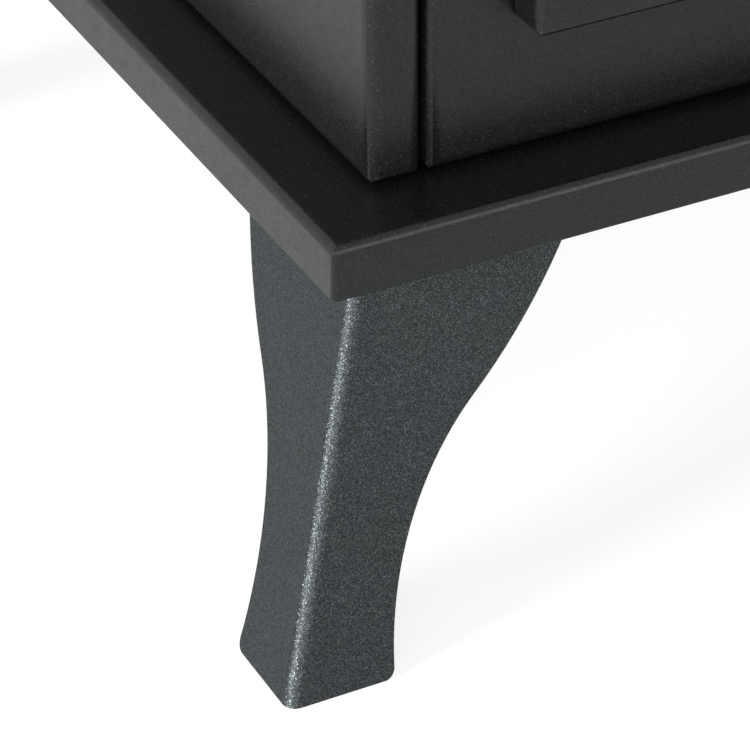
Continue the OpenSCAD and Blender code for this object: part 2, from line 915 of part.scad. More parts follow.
// Raised door frame
module door_frame() {
    color(charcoal) difference() {
        translate([0, door_face_y, door_z]) rotate([-90, 0, 0]) {
            window_pan(door_w, door_h, door_d, door_fold_r, window_w, window_h, window_edge);
        }
        translate([knob_x, door_face_y, door_z]) rotate([90, 0, 0]) {
            cylinder(h = 4 * sheet, r = m5_r + hole_play, center = true);
        }
    }
}

// Studs welded behind the door's face, for the glass strips
module door_studs() {
    color(zinc) at_strip_studs() cylinder(h = stud_l, r = m4_r);
}

module door_glass() {
    color(glass_tint) translate([0, glass_y + glass_t, door_z]) rotate([90, 0, 0]) {
        linear_extrude(glass_t) rounded_rect(glass_w, glass_h, fold_r);
    }
}

module glass_seal() {
    color(seal_black) translate([0, seal_y + seal_t, door_z]) rotate([90, 0, 0]) {
        linear_extrude(seal_t) difference() {
            rounded_rect(glass_w, glass_h, fold_r);
            square([window_w, window_h], center = true);
        }
    }
}

// Strip with a foot on the door's face and a lip over the glass; its web
// stands r out from the middle of the window
module glass_strip(r) {
    foot_mid = strip_sheet + strip_foot / 2;
    difference() {
        linear_extrude(strip_l, center = true) {
            translate([r, 0]) square([strip_sheet + strip_foot, strip_sheet]);
            translate([r, 0]) square([strip_sheet, strip_d]);
            translate([r - strip_lip, strip_d - strip_sheet]) square([strip_lip + strip_sheet, strip_sheet]);
        }
        for (s = [-1, 1]) {
            translate([r + foot_mid, 0, s * stud_pitch / 2]) rotate([90, 0, 0]) {
                cylinder(h = 4 * strip_sheet, r = m4_r + hole_play, center = true);
            }
        }
    }
}

module glass_strip_right() {
    color(zinc) translate([0, door_in_y, door_z]) glass_strip(glass_w / 2 + strip_gap);
}

module glass_strip_left() {
    mirror([1, 0, 0]) glass_strip_right();
}

module glass_strip_top() {
    color(zinc) translate([0, door_in_y, door_z]) rotate([0, -90, 0]) {
        glass_strip(glass_h / 2 + strip_gap);
    }
}

module glass_strip_bottom() {
    color(zinc) translate([0, door_in_y, door_z]) rotate([0, 90, 0]) {
        glass_strip(glass_h / 2 + strip_gap);
    }
}

module strip_nuts() {
    color(zinc) at_strip_studs() translate([0, 0, strip_sheet]) hex_nut(m4_r, m4_flats, m4_nut);
}

// Turned knob with a rose, a waisted neck and a flattened round grip
module door_knob() {
    grip_h = knob_out * grip_share;
    neck_h = knob_out - grip_h;
    shank = sheet + m5_nut + bolt_tail;
    color(steel) translate([knob_x, door_face_y, door_z]) rotate([90, 0, 0]) {
        rotate_extrude() {
            square([rose_r, rose_h]);
            square([neck_r, neck_h + past]);
            intersection() {
                translate([0, neck_h]) square([knob_r, grip_h]);
                translate([knob_r - grip_h / 2, neck_h + grip_h / 2]) circle(r = grip_h / 2);
            }
            translate([0, neck_h]) square([knob_r - grip_h / 2, grip_h]);
        }
        translate([0, 0, -shank]) cylinder(h = shank + rose_h / 2, r = m5_r);
    }
}

module knob_nut() {
    color(zinc) translate([knob_x, door_in_y, door_z]) rotate([-90, 0, 0]) {
        hex_nut(m5_r, m5_flats, m5_nut);
    }
}

// Catch

// Steel plate behind the door's face that the magnet holds
module strike_plate() {
    color(steel) translate([catch_x - catch_w / 2, door_in_y, catch_z - catch_h / 2]) {
        cube([catch_w, strike_t, catch_h]);
    }
}

// Puts its children at the two catch screws, +z pointing forwards
module at_catch_screws() {
    for (s = [-1, 1]) {
        translate([catch_x, front_y, catch_z + s * (catch_h + catch_lug) / 2]) rotate([90, 0, 0]) children();
    }
}

// Magnet block with a screw lug above and below it
module magnet_catch() {
    lug_h = catch_h + 2 * catch_lug;
    color(seal_black) difference() {
        union() {
            translate([catch_x - catch_w / 2, front_y - catch_d, catch_z - catch_h / 2]) {
                cube([catch_w, catch_d, catch_h]);
            }
            translate([catch_x - catch_w / 2, front_y - catch_lug_t, catch_z - lug_h / 2]) {
                cube([catch_w, catch_lug_t, lug_h]);
            }
        }
        at_catch_screws() cylinder(h = beyond, r = m3_r + hole_play, center = true);
    }
}

module catch_screws() {
    color(zinc) at_catch_screws() translate([0, 0, catch_lug_t]) mirror([0, 0, 1]) {
        pan_screw(m3_r, catch_lug_t + sheet + bolt_tail);
    }
}

// Hinges

// Puts its children at every hinge leaf screw, +z pointing forwards
module at_hinge_screws() {
    for (z = hinge_zs) {
        for (s = [-1, 1]) {
            translate([leaf_screw_x, front_y, z + s * leaf_screw_up]) rotate([90, 0, 0]) children();
        }
    }
}

// Leaf screwed to the front panel, with a knuckle above and below the door's
module hinge_leaf(z) {
    knuckle_z = door_knuckle_h / 2 + knuckle_gap;
    color(charcoal) difference() {
        union() {
            translate([leaf_mid_x - leaf_w / 2, front_y - leaf_t, z - hinge_h / 2]) {
                cube([leaf_w, leaf_t, hinge_h]);
            }
            for (s = [0, 1]) {
                translate([hinge_x, hinge_y, z]) mirror([0, 0, s]) translate([0, 0, knuckle_z]) {
                    cylinder(h = panel_knuckle_h, r = knuckle_r);
                    translate([-knuckle_web / 2, 0, 0]) {
                        cube([knuckle_web, hinge_proud - leaf_t / 2, panel_knuckle_h]);
                    }
                }
            }
        }
        translate([hinge_x, hinge_y, z]) cylinder(h = 2 * hinge_h, r = pin_r + pin_clearance, center = true);
        at_hinge_screws() cylinder(h = beyond, r = m4_r + hole_play, center = true);
    }
}

module hinge_leaf_upper() {
    hinge_leaf(hinge_zs[1]);
}

module hinge_leaf_lower() {
    hinge_leaf(hinge_zs[0]);
}

// Knuckle with a short leaf welded to the door's edge
module door_knuckle(z) {
    leaf_d = 2 * (knuckle_r + knuckle_leaf_over);
    color(charcoal) difference() {
        union() {
            translate([hinge_x, hinge_y, z]) cylinder(h = door_knuckle_h, r = knuckle_r, center = true);
            translate([hinge_x, hinge_y - knuckle_web / 2, z - door_knuckle_h / 2]) {
                cube([hinge_out - leaf_t / 2, knuckle_web, door_knuckle_h]);
            }
            translate([hinge_x + hinge_out - leaf_t, hinge_y - leaf_d / 2, z - door_knuckle_h / 2]) {
                cube([leaf_t, leaf_d, door_knuckle_h]);
            }
        }
        translate([hinge_x, hinge_y, z]) cylinder(h = 2 * hinge_h, r = pin_r + pin_clearance, center = true);
    }
}

module door_knuckle_upper() {
    door_knuckle(hinge_zs[1]);
}

module door_knuckle_lower() {
    door_knuckle(hinge_zs[0]);
}

// Pin dropped in from above, its head on the upper knuckle
module hinge_pin(z) {
    shank = hinge_h + pin_tail + pin_head_h / 2;
    color(steel) translate([hinge_x, hinge_y, z]) {
        translate([0, 0, -hinge_h / 2 - pin_tail]) cylinder(h = shank, r = pin_r);
        translate([0, 0, hinge_h / 2]) cylinder(h = pin_head_h, r = pin_head_r);
    }
}

module hinge_pin_upper() {
    hinge_pin(hinge_zs[1]);
}

module hinge_pin_lower() {
    hinge_pin(hinge_zs[0]);
}

module hinge_screws() {
    color(zinc) at_hinge_screws() translate([0, 0, leaf_t]) mirror([0, 0, 1]) {
        pan_screw(m4_r, leaf_t + sheet + bolt_tail);
    }
}

// Burner

module burner_tank() {
    color(steel) translate([0, burner_y, fire_floor_z - tank_h]) {
        pan(tank_l, tank_w, tank_h, tank_sheet, tank_fold_r);
    }
}

// Absorbent fibre block that fills the tank up to an air space
module burner_wool() {
    color(fibre_white) translate([0, burner_y, fire_floor_z - tank_h + tank_sheet]) {
        linear_extrude(tank_h - tank_sheet - wool_drop) {
            rounded_rect(tank_l - 2 * tank_fold_r, tank_w - 2 * tank_fold_r, tank_fold_r);
        }
    }
}

// Cover plate with the flame slot, resting on the deck round the opening
module burner_cover() {
    color(steel) translate([0, 0, fire_floor_z]) linear_extrude(cover_t) difference() {
        translate([0, burner_y]) rounded_rect(cover_l, cover_w, tank_fold_r);
        translate([0, slot_y]) rounded_rect(slot_l, slot_w, tank_fold_r);
    }
}

// Rail with a foot on the cover and a lip over the regulator's edge
module slide_rail_right() {
    rail_x = slide_l / 2 + slide_play;
    color(steel) translate([0, burner_y, fire_floor_z + cover_t]) {
        rotate([90, 0, 0]) linear_extrude(rail_l, center = true) {
            translate([rail_x, 0]) square([rail_t + rail_foot, rail_t]);
            translate([rail_x, 0]) square([rail_t, rail_h]);
            translate([rail_x - rail_lip, rail_h - rail_t]) square([rail_lip + rail_t, rail_t]);
        }
        for (s = [0, 1]) {
            mirror([0, s, 0]) translate([rail_x - rail_lip, rail_l / 2 - rail_stop, 0]) {
                cube([rail_lip + rail_t, rail_stop, rail_h]);
            }
        }
    }
}

module slide_rail_left() {
    mirror([1, 0, 0]) slide_rail_right();
}

// Regulator plate over the slot, with an upright pull tab at its front edge
module burner_slide() {
    front = slot_y - slide_w / 2;
    color(steel) {
        translate([0, slot_y, slide_z]) linear_extrude(slide_t) {
            square([slide_l, slide_w], center = true);
        }
        translate([0, front + slide_t, slide_z]) rotate([90, 0, 0]) linear_extrude(slide_t) difference() {
            union() {
                translate([-tab_w / 2, 0]) square([tab_w, tab_h - tab_w / 4]);
                translate([0, tab_h - tab_w / 4]) slot(tab_w, tab_w / 2);
            }
            translate([0, tab_h - tab_w / 4]) circle(r = tab_hole_r);
        }
    }
}

base_tray();
top_plate();
side_panel_left();
side_panel_right();
front_panel();
back_panel();
leg_front_left();
leg_front_right();
leg_rear_left();
leg_rear_right();
leg_bolts();
leg_nuts();
body_bolts();
body_nuts();
top_studs();
top_nuts();
back_screws();
firebox_deck();
firebox_liner_left();
firebox_liner_right();
firebox_back();
firebox_baffle();
liner_screws();
rear_spacers();
rear_screws();
door_frame();
door_glass();
glass_seal();
glass_strip_top();
glass_strip_bottom();
glass_strip_left();
glass_strip_right();
door_studs();
strip_nuts();
door_knob();
knob_nut();
strike_plate();
magnet_catch();
catch_screws();
hinge_leaf_upper();
hinge_leaf_lower();
hinge_pin_upper();
hinge_pin_lower();
door_knuckle_upper();
door_knuckle_lower();
hinge_screws();
burner_tank();
burner_wool();
burner_cover();
slide_rail_left();
slide_rail_right();
burner_slide();
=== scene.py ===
import json
import math

import bmesh
import bpy
from mathutils import Matrix, Vector


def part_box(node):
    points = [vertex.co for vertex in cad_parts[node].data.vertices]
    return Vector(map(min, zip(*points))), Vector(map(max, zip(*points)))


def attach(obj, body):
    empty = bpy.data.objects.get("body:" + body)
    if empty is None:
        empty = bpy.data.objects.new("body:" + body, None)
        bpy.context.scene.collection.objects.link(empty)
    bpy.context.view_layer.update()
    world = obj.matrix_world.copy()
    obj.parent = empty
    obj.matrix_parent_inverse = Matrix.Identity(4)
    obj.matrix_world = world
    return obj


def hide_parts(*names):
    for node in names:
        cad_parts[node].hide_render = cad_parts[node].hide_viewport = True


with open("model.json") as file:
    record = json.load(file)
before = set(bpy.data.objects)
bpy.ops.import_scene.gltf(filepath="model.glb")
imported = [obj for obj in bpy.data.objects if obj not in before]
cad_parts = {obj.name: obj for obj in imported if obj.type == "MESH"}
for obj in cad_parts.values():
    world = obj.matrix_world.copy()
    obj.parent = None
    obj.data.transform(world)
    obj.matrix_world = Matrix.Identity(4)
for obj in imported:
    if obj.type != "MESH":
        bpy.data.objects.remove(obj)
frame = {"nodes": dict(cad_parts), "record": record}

bl_info = {
    "name": "Bioethanol fireplace finishes",
    "version": (1, 0, 0),
    "blender": (4, 5, 0),
    "location": "3D View > Sidebar > Stove",
    "description": "Dresses the sheet-steel bioethanol fireplace and sets its studio",
    "category": "Object",
}

MM = 0.001

NODES = frame["nodes"]
BODY_OF = {
    node: body
    for body, nodes in frame["record"]["behaviour"]["bodies"].items()
    for node in nodes
}

# Clean-up of a copied mesh: points this close are one, faces this level are one, and long
# edges as faint as those beside a fold go
MERGE_DISTANCE = 0.002 * MM
LEVEL_ANGLE = math.radians(0.05)
FAINT_ANGLE = math.radians(3)
LONG_EDGE = 20 * MM

# Edges above the first angle stay crisp, those above the second are rounded by the coat
CRISP_ANGLE = math.radians(35)
COAT_ANGLE = math.radians(40)
COAT_STEPS = 2

# Screw heads: a flat top is wider than this, the rest are parts of the head's radius
HEAD_AREA = 25 * MM * MM
DOME_STEPS = 3
DOME_RUN = 0.45
DOME_RISE = 0.3
SOCKET_RIM = 0.05
SOCKET_FLAT = 0.42
SOCKET_DEPTH = 0.35

# Most of a noise lies between these
NOISE_LOW = 0.3
NOISE_HIGH = 0.7

# Flakes: softness of the draw that picks them, the dimmest one, and their roughness
# as a part of the coat's
FLAKE_SOFTNESS = 0.04
DIMMEST_FLAKE = 0.35
FLAKE_POLISH = 0.8

# Coat: clouds and coarse bumps across the width of one grain, and how much a cloud dulls
CLOUDS_PER_GRAIN = 0.12
COARSE_PER_GRAIN = 0.25
CLOUD_DULLING = 0.03

# Brushed metal: lines and patches in a metre, tone of the darkest line, and how much
# lines and patches dull
LINES_PER_METRE = 1500.0
PATCHES_PER_METRE = 24.0
LINE_TONE = (0.82, 0.82, 0.82, 1)
LINE_DULLING = 0.06
PATCH_DULLING = 0.04

# Matte surfaces: wide clouds across one fine one, and the span that turns dark into light
WIDE_PER_FINE = 0.06
TONE_LOW = 0.35
TONE_HIGH = 0.65

# Bare metals
STAINLESS = (0.62, 0.61, 0.59)
ZINC_DARK = (0.42, 0.43, 0.42)
ZINC_LIGHT = (0.56, 0.57, 0.55)

# Brushed lines run along the axis with the small factor
LINES_ALONG_X = (0.01, 1.0, 1.0)
LINES_ALONG_Y = (1.0, 0.01, 1.0)

# Floor colours: as it lights the stove, and as it shows the stove's shadow
LIT_FLOOR = (0.85, 0.85, 0.85, 1)
SEEN_FLOOR = (0.22, 0.22, 0.22, 1)

# Lower front left corner of the base tray, which the camera looks at
BASE_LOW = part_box("base_tray")[0]


# Settings


class CoatSettings(bpy.types.PropertyGroup):
    """Powder coats of the body and the legs"""

    body_colour: bpy.props.FloatVectorProperty(
        name="Body colour",
        description="Colour of the smooth coat on base, body and door",
        subtype="COLOR",
        size=3,
        min=0,
        max=1,
        default=(0.0018, 0.0023, 0.0022),
    )
    leg_colour: bpy.props.FloatVectorProperty(
        name="Leg colour",
        description="Colour of the sparkling coat on the legs",
        subtype="COLOR",
        size=3,
        min=0,
        max=1,
        default=(0.0042, 0.0050, 0.0053),
    )
    body_flake: bpy.props.FloatVectorProperty(
        name="Body flake",
        description="Colour of the few metal flakes in the body's coat",
        subtype="COLOR",
        size=3,
        min=0,
        max=1,
        default=(0.06, 0.064, 0.063),
    )
    body_tint: bpy.props.FloatVectorProperty(
        name="Body reflection tint",
        description="Tint of what the body's coat reflects",
        subtype="COLOR",
        size=3,
        min=0,
        max=1,
        default=(0.94, 1.0, 0.97),
    )
    leg_tint: bpy.props.FloatVectorProperty(
        name="Leg reflection tint",
        description="Tint of what the legs' coat reflects",
        subtype="COLOR",
        size=3,
        min=0,
        max=1,
        default=(0.87, 0.97, 1.0),
    )
    leg_flake: bpy.props.FloatVectorProperty(
        name="Leg flake",
        description="Colour of the metal flakes in the legs' coat",
        subtype="COLOR",
        size=3,
        min=0,
        max=1,
        default=(0.057, 0.063, 0.065),
    )
    body_grain: bpy.props.FloatProperty(
        name="Body grain",
        description="Size of the grain in the body's coat",
        unit="LENGTH",
        default=0.7 * MM,
    )
    leg_grain: bpy.props.FloatProperty(
        name="Leg grain",
        description="Size of the grain in the legs' coat",
        unit="LENGTH",
        default=0.5 * MM,
    )
    edge_radius: bpy.props.FloatProperty(
        name="Coated edge",
        description="Radius that the coat gives to a cut edge of the sheet",
        unit="LENGTH",
        default=0.35 * MM,
    )


class StudioSettings(bpy.types.PropertyGroup):
    """Camera, lamps and floor"""

    camera_distance: bpy.props.FloatProperty(
        name="Camera distance",
        description="Distance of the camera from the point it looks at",
        unit="LENGTH",
        default=1.2121,
    )
    camera_azimuth: bpy.props.FloatProperty(
        name="Camera azimuth",
        description="Angle of the camera round the stove, from straight ahead to its left",
        subtype="ANGLE",
        default=math.radians(26.7555),
    )
    camera_elevation: bpy.props.FloatProperty(
        name="Camera elevation",
        description="Angle at which the camera looks down",
        subtype="ANGLE",
        default=math.radians(33.3139),
    )
    camera_roll: bpy.props.FloatProperty(
        name="Camera roll",
        description="Turn of the camera about its own axis",
        subtype="ANGLE",
        default=math.radians(-0.4345),
    )
    camera_lens: bpy.props.FloatProperty(
        name="Camera lens",
        description="Focal length for a sensor 36 mm wide",
        subtype="DISTANCE_CAMERA",
        default=183.95,
    )
    target_offset: bpy.props.FloatVectorProperty(
        name="Target offset",
        description="Point the camera looks at, from the base tray's lower front left corner",
        subtype="TRANSLATION",
        size=3,
        default=(5.95 * MM, -16.96 * MM, -18.97 * MM),
    )
    sky: bpy.props.FloatProperty(
        name="Sky light",
        description="Strength of the even light from all sides",
        default=0.44,
    )
    lamp_aim: bpy.props.FloatVectorProperty(
        name="Lamp aim",
        description="Point near the lower left corner that all lamps face",
        subtype="TRANSLATION",
        size=3,
        default=(-0.25, -0.2, 0.1),
    )
    floor_glow: bpy.props.FloatProperty(
        name="Floor glow",
        description="Brightness that the seen floor has by itself, which keeps it white",
        default=0.83,
    )
    floor_size: bpy.props.FloatProperty(
        name="Floor size",
        description="Width and depth of the studio floor",
        unit="LENGTH",
        default=14.0,
    )


# Shader nodes


class Shade:
    """A material or node group under construction"""

    def __init__(self, tree):
        self.nodes = tree.nodes
        self.links = tree.links

    def add(self, kind, **values):
        node = self.nodes.new(kind)
        for name, value in values.items():
            setattr(node, name, value)
        return node

    def feed(self, socket, value):
        if isinstance(value, bpy.types.NodeSocket):
            self.links.new(value, socket)
        else:
            socket.default_value = value

    def math(self, operation, a, b=0.0):
        node = self.add("ShaderNodeMath", operation=operation)
        self.feed(node.inputs[0], a)
        self.feed(node.inputs[1], b)
        return node.outputs[0]

    def vector_math(self, operation, a, b=None, scale=None):
        node = self.add("ShaderNodeVectorMath", operation=operation)
        self.feed(node.inputs[0], a)
        if b is not None:
            self.feed(node.inputs[1], b)
        if scale is not None:
            self.feed(node.inputs["Scale"], scale)
        return node.outputs["Vector"]

    # A mix node has sockets of its own for vectors, 4 and 5, and for colours, 6 and 7

    def blend_vector(self, factor, a, b):
        node = self.add("ShaderNodeMix", data_type="VECTOR")
        self.feed(node.inputs["Factor"], factor)
        self.feed(node.inputs[4], a)
        self.feed(node.inputs[5], b)
        return node.outputs[1]

    def blend(self, factor, a, b, blend_type="MIX"):
        node = self.add("ShaderNodeMix", data_type="RGBA", blend_type=blend_type)
        self.feed(node.inputs["Factor"], factor)
        self.feed(node.inputs[6], a)
        self.feed(node.inputs[7], b)
        return node.outputs[2]

    def bump(self, height, depth):
        node = self.add("ShaderNodeBump")
        self.feed(node.inputs["Height"], height)
        self.feed(node.inputs["Distance"], depth)
        return node.outputs["Normal"]

    def range(self, value, low, high, to_low, to_high):
        node = self.add("ShaderNodeMapRange")
        self.feed(node.inputs["Value"], value)
        self.feed(node.inputs["From Min"], low)
        self.feed(node.inputs["From Max"], high)
        self.feed(node.inputs["To Min"], to_low)
        self.feed(node.inputs["To Max"], to_high)
        return node.outputs["Result"]

    def noise(self, place, scale, detail=2.0, roughness=0.5):
        node = self.add("ShaderNodeTexNoise")
        self.feed(node.inputs["Vector"], place)
        self.feed(node.inputs["Scale"], scale)
        self.feed(node.inputs["Detail"], detail)
        self.feed(node.inputs["Roughness"], roughness)
        return node.outputs["Fac"]

    def swing(self, noise, size):
        """A noise that runs from -size to size"""
        return self.range(noise, NOISE_LOW, NOISE_HIGH, -size, size)

    def cells(self, place, scale):
        node = self.add("ShaderNodeTexVoronoi", feature="F1")
        self.feed(node.inputs["Vector"], place)
        self.feed(node.inputs["Scale"], scale)
        return node

    def place(self):
        return self.add("ShaderNodeTexCoord").outputs["Object"]

    def stretched(self, place, scale):
        node = self.add("ShaderNodeMapping")
        self.feed(node.inputs["Vector"], place)
        self.feed(node.inputs["Scale"], scale)
        return node.outputs["Vector"]


def colour4(colour):
    return (colour[0], colour[1], colour[2], 1.0)


def new_group(name, inputs, outputs):
    """An empty node group with its sockets, and its input and output nodes"""
    group = bpy.data.node_groups.new(name, "ShaderNodeTree")
    for label, kind, default in inputs:
        socket = group.interface.new_socket(name=label, in_out="INPUT", socket_type=kind)
        if default is not None:
            socket.default_value = default
    for label, kind in outputs:
        group.interface.new_socket(name=label, in_out="OUTPUT", socket_type=kind)
    shade = Shade(group)
    return shade, shade.add("NodeGroupInput").outputs, shade.add("NodeGroupOutput").inputs


def flake_coat_group():
    """Powder coat: colour with tilted metal flakes, cloudy roughness and a fine bumpy skin"""
    shade, given, out = new_group(
        "Flake coat",
        [
            ("Colour", "NodeSocketColor", None),
            ("Flake Colour", "NodeSocketColor", None),
            ("Flake Share", "NodeSocketFloat", 0.1),
            ("Flake Size", "NodeSocketFloat", 0.3 * MM),
            ("Flake Tilt", "NodeSocketFloat", 0.5),
            ("Grain Size", "NodeSocketFloat", 0.7 * MM),
            ("Grain Depth", "NodeSocketFloat", 0.01 * MM),
            ("Roughness", "NodeSocketFloat", 0.45),
        ],
        [
            ("Colour", "NodeSocketColor"),
            ("Roughness", "NodeSocketFloat"),
            ("Metallic", "NodeSocketFloat"),
            ("Normal", "NodeSocketVector"),
        ],
    )
    place = shade.place()
    flake = shade.cells(place, shade.math("DIVIDE", 1.0, given["Flake Size"]))
    pick = shade.add("ShaderNodeSeparateColor")
    shade.feed(pick.inputs["Color"], flake.outputs["Color"])
    chance = pick.outputs["Red"]
    edge = shade.math("SUBTRACT", 1.0, given["Flake Share"])
    shown = shade.range(chance, edge, shade.math("ADD", edge, FLAKE_SOFTNESS), 0.0, 1.0)
    bright = shade.range(pick.outputs["Green"], 0.0, 1.0, DIMMEST_FLAKE, 1.0)
    shine = shade.math("MULTIPLY", shown, bright)
    cloud_scale = shade.math("DIVIDE", CLOUDS_PER_GRAIN, given["Grain Size"])
    cloud = shade.noise(place, cloud_scale, 3.0)
    shade.feed(out["Colour"], shade.blend(shine, given["Colour"], given["Flake Colour"]))
    shade.feed(out["Metallic"], shine)
    dull = shade.math("ADD", given["Roughness"], shade.swing(cloud, CLOUD_DULLING))
    polish = shade.range(shown, 0.0, 1.0, 1.0, FLAKE_POLISH)
    shade.feed(out["Roughness"], shade.math("MULTIPLY", dull, polish))
    fine_scale = shade.math("DIVIDE", 1.0, given["Grain Size"])
    fine = shade.noise(place, fine_scale)
    coarse_scale = shade.math("DIVIDE", COARSE_PER_GRAIN, given["Grain Size"])
    coarse = shade.noise(place, coarse_scale, 1.0)
    skin = shade.bump(shade.math("ADD", fine, coarse), given["Grain Depth"])
    turn = shade.add("ShaderNodeTexWhiteNoise", noise_dimensions="3D")
    shade.feed(turn.inputs["Vector"], flake.outputs["Position"])
    lean = shade.vector_math("SUBTRACT", turn.outputs["Color"], (0.5, 0.5, 0.5))
    lean = shade.vector_math("SCALE", lean, scale=given["Flake Tilt"])
    tilted = shade.vector_math("NORMALIZE", shade.vector_math("ADD", skin, lean))
    shade.feed(out["Normal"], shade.blend_vector(shown, skin, tilted))


def brushed_lines_group():
    """Brushed metal: fine lines along one axis that vary colour, roughness and height"""
    shade, given, out = new_group(
        "Brushed lines",
        [
            ("Colour", "NodeSocketColor", None),
            ("Lines Along", "NodeSocketVector", LINES_ALONG_X),
            ("Roughness", "NodeSocketFloat", 0.3),
        ],
        [
            ("Colour", "NodeSocketColor"),
            ("Roughness", "NodeSocketFloat"),
            ("Height", "NodeSocketFloat"),
        ],
    )
    place = shade.stretched(shade.place(), given["Lines Along"])
    lines = shade.noise(place, LINES_PER_METRE)
    patch = shade.noise(shade.place(), PATCHES_PER_METRE)
    mask = shade.range(lines, NOISE_LOW, NOISE_HIGH, 0.0, 1.0)
    tone = shade.blend(mask, LINE_TONE, (1, 1, 1, 1))
    shade.feed(out["Colour"], shade.blend(1.0, given["Colour"], tone, "MULTIPLY"))
    line_change = shade.swing(lines, LINE_DULLING)
    change = shade.math("ADD", line_change, shade.swing(patch, PATCH_DULLING))
    shade.feed(out["Roughness"], shade.math("ADD", given["Roughness"], change))
    shade.feed(out["Height"], lines)


def cloudy_matte_group():
    """Matte surface: cloudy colour between two tones, a roughness that follows, and a fine height"""
    shade, given, out = new_group(
        "Cloudy matte",
        [
            ("Dark", "NodeSocketColor", None),
            ("Light", "NodeSocketColor", None),
            ("Size", "NodeSocketFloat", 2.0 * MM),
            ("Roughness", "NodeSocketFloat", 0.7),
            ("Roughness Change", "NodeSocketFloat", 0.06),
        ],
        [
            ("Colour", "NodeSocketColor"),
            ("Roughness", "NodeSocketFloat"),
            ("Height", "NodeSocketFloat"),
        ],
    )
    place = shade.place()
    scale = shade.math("DIVIDE", 1.0, given["Size"])
    fine = shade.noise(place, scale, 3.0, 0.6)
    wide = shade.noise(place, shade.math("MULTIPLY", scale, WIDE_PER_FINE))
    both = shade.math("MULTIPLY", shade.math("ADD", fine, wide), 0.5)
    mask = shade.range(both, TONE_LOW, TONE_HIGH, 0.0, 1.0)
    shade.feed(out["Colour"], shade.blend(mask, given["Dark"], given["Light"]))
    change = shade.math("MULTIPLY", shade.swing(wide, 1.0), given["Roughness Change"])
    shade.feed(out["Roughness"], shade.math("ADD", given["Roughness"], change))
    shade.feed(out["Height"], fine)


def group_node(shade, tree, **values):
    """Places a node group in a material; values are its inputs with _ for a space"""
    node = shade.add("ShaderNodeGroup", node_tree=tree)
    for name, value in values.items():
        shade.feed(node.inputs[name.replace("_", " ")], value)
    return node.outputs


def new_material(name):
    """A material with one Principled BSDF"""
    material = bpy.data.materials.new(name)
    material.use_nodes = True
    shade = Shade(material.node_tree)
    shader = next(n for n in shade.nodes if n.type == "BSDF_PRINCIPLED")
    return material, shade, shader.inputs


def coat_material(name, tint, ior, **coat_values):
    material, shade, shader = new_material(name)
    shader["IOR"].default_value = ior
    shader["Specular Tint"].default_value = colour4(tint)
    coat = group_node(shade, bpy.data.node_groups["Flake coat"], **coat_values)
    shade.feed(shader["Base Color"], coat["Colour"])
    shade.feed(shader["Roughness"], coat["Roughness"])
    shade.feed(shader["Metallic"], coat["Metallic"])
    shade.feed(shader["Normal"], coat["Normal"])
    return material


def body_coat(coats):
    return coat_material(
        "Body coat",
        coats.body_tint,
        ior=1.40,
        Colour=colour4(coats.body_colour),
        Flake_Colour=colour4(coats.body_flake),
        Flake_Share=0.12,
        Flake_Size=0.25 * MM,
        Flake_Tilt=0.5,
        Grain_Size=coats.body_grain,
        Grain_Depth=0.018 * MM,
        Roughness=0.34,
    )


def leg_coat(coats):
    return coat_material(
        "Leg coat",
        coats.leg_tint,
        ior=1.30,
        Colour=colour4(coats.leg_colour),
        Flake_Colour=colour4(coats.leg_flake),
        Flake_Share=0.6,
        Flake_Size=0.3 * MM,
        Flake_Tilt=0.45,
        Grain_Size=coats.leg_grain,
        Grain_Depth=0.06 * MM,
        Roughness=0.4,
    )


def metal_material(name, colour, along, roughness, depth):
    material, shade, shader = new_material(name)
    metal = group_node(
        shade,
        bpy.data.node_groups["Brushed lines"],
        Colour=colour4(colour),
        Lines_Along=along,
        Roughness=roughness,
    )
    shader["Metallic"].default_value = 1.0
    shade.feed(shader["Base Color"], metal["Colour"])
    shade.feed(shader["Roughness"], metal["Roughness"])
    shade.feed(shader["Normal"], shade.bump(metal["Height"], depth))
    return material


def matte_material(name, dark, light, size, roughness, depth):
    material, shade, shader = new_material(name)
    matte = group_node(
        shade,
        bpy.data.node_groups["Cloudy matte"],
        Dark=colour4(dark),
        Light=colour4(light),
        Size=size,
        Roughness=roughness,
    )
    shade.feed(shader["Base Color"], matte["Colour"])
    shade.feed(shader["Roughness"], matte["Roughness"])
    shade.feed(shader["Normal"], shade.bump(matte["Height"], depth))
    return material


def seal_tape():
    return matte_material(
        "Seal tape",
        dark=(0.008, 0.008, 0.009),
        light=(0.03, 0.03, 0.032),
        size=0.8 * MM,
        roughness=0.85,
        depth=0.2 * MM,
    )


def magnet_housing():
    return matte_material(
        "Magnet housing",
        dark=(0.012, 0.012, 0.012),
        light=(0.02, 0.02, 0.021),
        size=0.5 * MM,
        roughness=0.55,
        depth=0.02 * MM,
    )


def heat_paint():
    return matte_material(
        "Heat paint",
        dark=(0.026, 0.026, 0.025),
        light=(0.052, 0.050, 0.048),
        size=1.2 * MM,
        roughness=0.72,
        depth=0.03 * MM,
    )


def mineral_fibre():
    return matte_material(
        "Mineral fibre",
        dark=(0.62, 0.60, 0.56),
        light=(0.82, 0.81, 0.78),
        size=1.5 * MM,
        roughness=0.95,
        depth=0.5 * MM,
    )


def bright_zinc():
    material = matte_material(
        "Bright zinc",
        dark=ZINC_DARK,
        light=ZINC_LIGHT,
        size=1.5 * MM,
        roughness=0.38,
        depth=0.01 * MM,
    )
    shader = next(n for n in material.node_tree.nodes if n.type == "BSDF_PRINCIPLED")
    shader.inputs["Metallic"].default_value = 1.0
    return material


